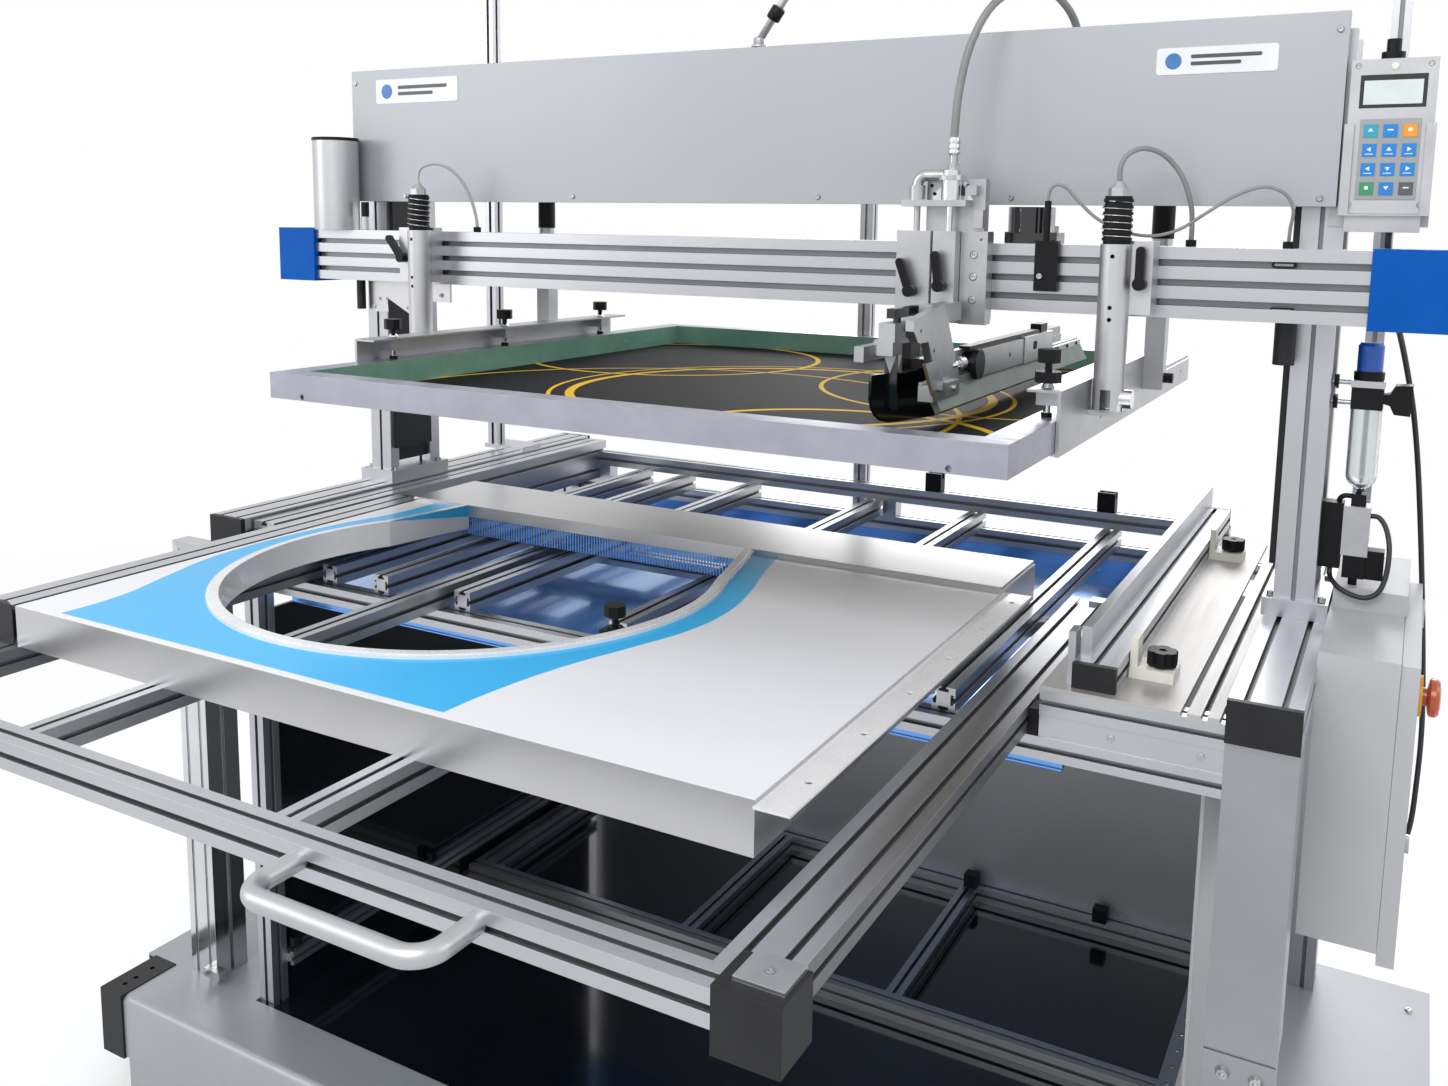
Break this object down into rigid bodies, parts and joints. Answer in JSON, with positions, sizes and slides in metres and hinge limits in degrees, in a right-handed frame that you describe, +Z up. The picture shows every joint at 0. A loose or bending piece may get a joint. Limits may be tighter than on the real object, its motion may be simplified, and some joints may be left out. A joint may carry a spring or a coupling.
{
  "type": "flatbed screen printer",
  "caption": "Portal flatbed screen printer on a base: pull-out work table, lift-down print head with screen, squeegee and flood bar carriage, hand pendant.",
  "frame": {"origin": "on the floor, midway between the two sides, in the plane of the front posts' faces", "axes": "+X to the machine's right, +Y to its back, +Z up"},
  "size_m": [1.902, 1.63, 1.904],
  "materials": {
    "anodised": "satin anodised",
    "painted_base": "satin powder coat",
    "steel": "brushed",
    "bright": "polished",
    "black_plastic": "matt",
    "black_sheet": "gloss powder coat",
    "blue_sheet": "glossy film",
    "blue_plastic": "satin",
    "grey_paint": "satin",
    "cabinet_paint": "fine texture",
    "bowl": "clear",
    "rubber_green": "satin",
    "mesh": "woven",
    "white_enamel": "gloss enamel",
    "red_plastic": "gloss",
    "pendant_case": "fine texture",
    "grey_cable": "satin",
    "black_cable": "satin"
  },
  "bodies": {
    "frame": {"base": "painted_base", "end_caps": "black_plastic", "posts": "anodised", "side_rails": "anodised", "table_rails": "anodised", "table_bars": "anodised", "table_plate": "steel", "side_guide": "anodised", "floor_grid": "anodised", "bay_panels": "black_sheet", "blue_tray": "blue_sheet", "columns": "anodised", "hood": "grey_paint", "mast": "anodised", "cabinet": "cabinet_paint", "air_unit": "black_plastic", "air_bowl": "bowl", "pendant_cradle": "steel", "slide_blocks": "black_plastic", "fasteners": "bright", "squeegee_hose": "grey_cable", "valve_hose": "black_cable", "pendant_cable": "black_cable"},
    "head": {"print_beam": "anodised", "beam_caps": "blue_plastic", "lift_slides": "steel", "drive_motor": "anodised", "screen_tubes": "anodised", "tube_sleeves": "black_plastic", "rear_hangers": "anodised", "holder_left": "steel", "holder_right": "steel", "cable_left": "grey_cable", "cable_right": "grey_cable", "sensor_cable": "grey_cable"},
    "carriage": {"carriage": "anodised"},
    "squeegee": {"squeegee_holder": "anodised", "squeegee_blade": "rubber_green"},
    "flood": {"flood_bar": "black_plastic"},
    "screen": {"screen_frame": "steel", "screen_mesh": "mesh"},
    "knob_left_1": {"knob_left_1": "black_plastic"},
    "knob_left_2": {"knob_left_2": "black_plastic"},
    "knob_left_3": {"knob_left_3": "black_plastic"},
    "knob_right": {"knob_right": "black_plastic"},
    "lever_flood": {"lever_flood": "black_plastic"},
    "lever_squeegee": {"lever_squeegee": "black_plastic"},
    "lever_tube_left": {"lever_tube_left": "black_plastic"},
    "lever_tube_right": {"lever_tube_right": "black_plastic"},
    "pull_table": {"pull_frame": "anodised", "pull_handle": "bright", "stop_rail": "anodised"},
    "panel": {"panel_blank": "white_enamel"},
    "star_knob_1": {"star_knob_1": "black_plastic"},
    "star_knob_2": {"star_knob_2": "black_plastic"},
    "table_clamp": {"table_clamp": "black_plastic"},
    "door": {"cabinet_door": "cabinet_paint"},
    "estop": {"estop_button": "red_plastic"},
    "air_knob": {"air_knob": "blue_plastic"},
    "pendant": {"pendant": "pendant_case"}
  },
  "joints": [
    {"name": "head_lift", "type": "slide", "parent": "frame", "child": "head", "axis": [0, 0, 1], "range_m": [-0.205, 0]},
    {"name": "carriage_travel", "type": "slide", "parent": "head", "child": "carriage", "axis": [1, 0, 0], "range_m": [-0.7, 0.05]},
    {"name": "squeegee_lift", "type": "slide", "parent": "carriage", "child": "squeegee", "axis": [0, 0, 1], "range_m": [-0.026, 0.011]},
    {"name": "flood_lift", "type": "slide", "parent": "carriage", "child": "flood", "axis": [0, 0, 1], "range_m": [-0.008, 0.014]},
    {"name": "screen_slide", "type": "slide", "parent": "head", "child": "screen", "axis": [0, -1, 0], "range_m": [0, 0.085]},
    {"name": "knob_left_1_turn", "type": "hinge", "parent": "head", "child": "knob_left_1", "pos_m": [-0.494, 0.101, 1.236], "axis": [0, 0, 1], "range_deg": [0, 360]},
    {"name": "knob_left_2_turn", "type": "hinge", "parent": "head", "child": "knob_left_2", "pos_m": [-0.494, 0.361, 1.236], "axis": [0, 0, 1], "range_deg": [0, 360]},
    {"name": "knob_left_3_turn", "type": "hinge", "parent": "head", "child": "knob_left_3", "pos_m": [-0.494, 0.639, 1.236], "axis": [0, 0, 1], "range_deg": [0, 360]},
    {"name": "knob_right_turn", "type": "hinge", "parent": "head", "child": "knob_right", "pos_m": [0.494, 0.087, 1.236], "axis": [0, 0, 1], "range_deg": [0, 360]},
    {"name": "lever_flood_turn", "type": "hinge", "parent": "flood", "child": "lever_flood", "pos_m": [0.286, 0.206, 1.331], "axis": [0, 1, 0], "range_deg": [-40, 40]},
    {"name": "lever_squeegee_turn", "type": "hinge", "parent": "squeegee", "child": "lever_squeegee", "pos_m": [0.328, 0.196, 1.339], "axis": [0, 1, 0], "range_deg": [-30, 40]},
    {"name": "lever_tube_left_turn", "type": "hinge", "parent": "head", "child": "lever_tube_left", "pos_m": [-0.565, 0.205, 1.351], "axis": [0, 1, 0], "range_deg": [-45, 15]},
    {"name": "lever_tube_right_turn", "type": "hinge", "parent": "head", "child": "lever_tube_right", "pos_m": [0.565, 0.205, 1.349], "axis": [0, 1, 0], "range_deg": [0, 60]},
    {"name": "table_pull", "type": "slide", "parent": "frame", "child": "pull_table", "axis": [0, 1, 0], "range_m": [0, 0.424]},
    {"name": "panel_lift", "type": "slide", "parent": "pull_table", "child": "panel", "axis": [0, 0, 1], "range_m": [0, 0.15]},
    {"name": "star_knob_1_turn", "type": "hinge", "parent": "frame", "child": "star_knob_1", "pos_m": [0.632, 0.096, 0.925], "axis": [0, 0, 1], "range_deg": [0, 360]},
    {"name": "star_knob_2_turn", "type": "hinge", "parent": "frame", "child": "star_knob_2", "pos_m": [0.632, 0.669, 0.925], "axis": [0, 0, 1], "range_deg": [0, 360]},
    {"name": "table_clamp_turn", "type": "hinge", "parent": "pull_table", "child": "table_clamp", "pos_m": [0.002, -0.0395, 0.9], "axis": [0, 0, 1], "range_deg": [0, 360]},
    {"name": "door_hinge", "type": "hinge", "parent": "frame", "child": "door", "pos_m": [0.88, 0.516, 0.8], "axis": [0, 0, 1], "range_deg": [0, 90]},
    {"name": "estop_press", "type": "slide", "parent": "door", "child": "estop", "axis": [-1, 0, 0], "range_m": [0, 0.004], "stiffness_N_per_m": 900},
    {"name": "air_knob_turn", "type": "hinge", "parent": "frame", "child": "air_knob", "pos_m": [0.803, 0.36, 1.2], "axis": [0, 0, 1], "range_deg": [-360, 360]},
    {"name": "pendant_lift", "type": "slide", "parent": "frame", "child": "pendant", "axis": [0, 0, 1], "range_m": [0, 0.12]}
  ]
}
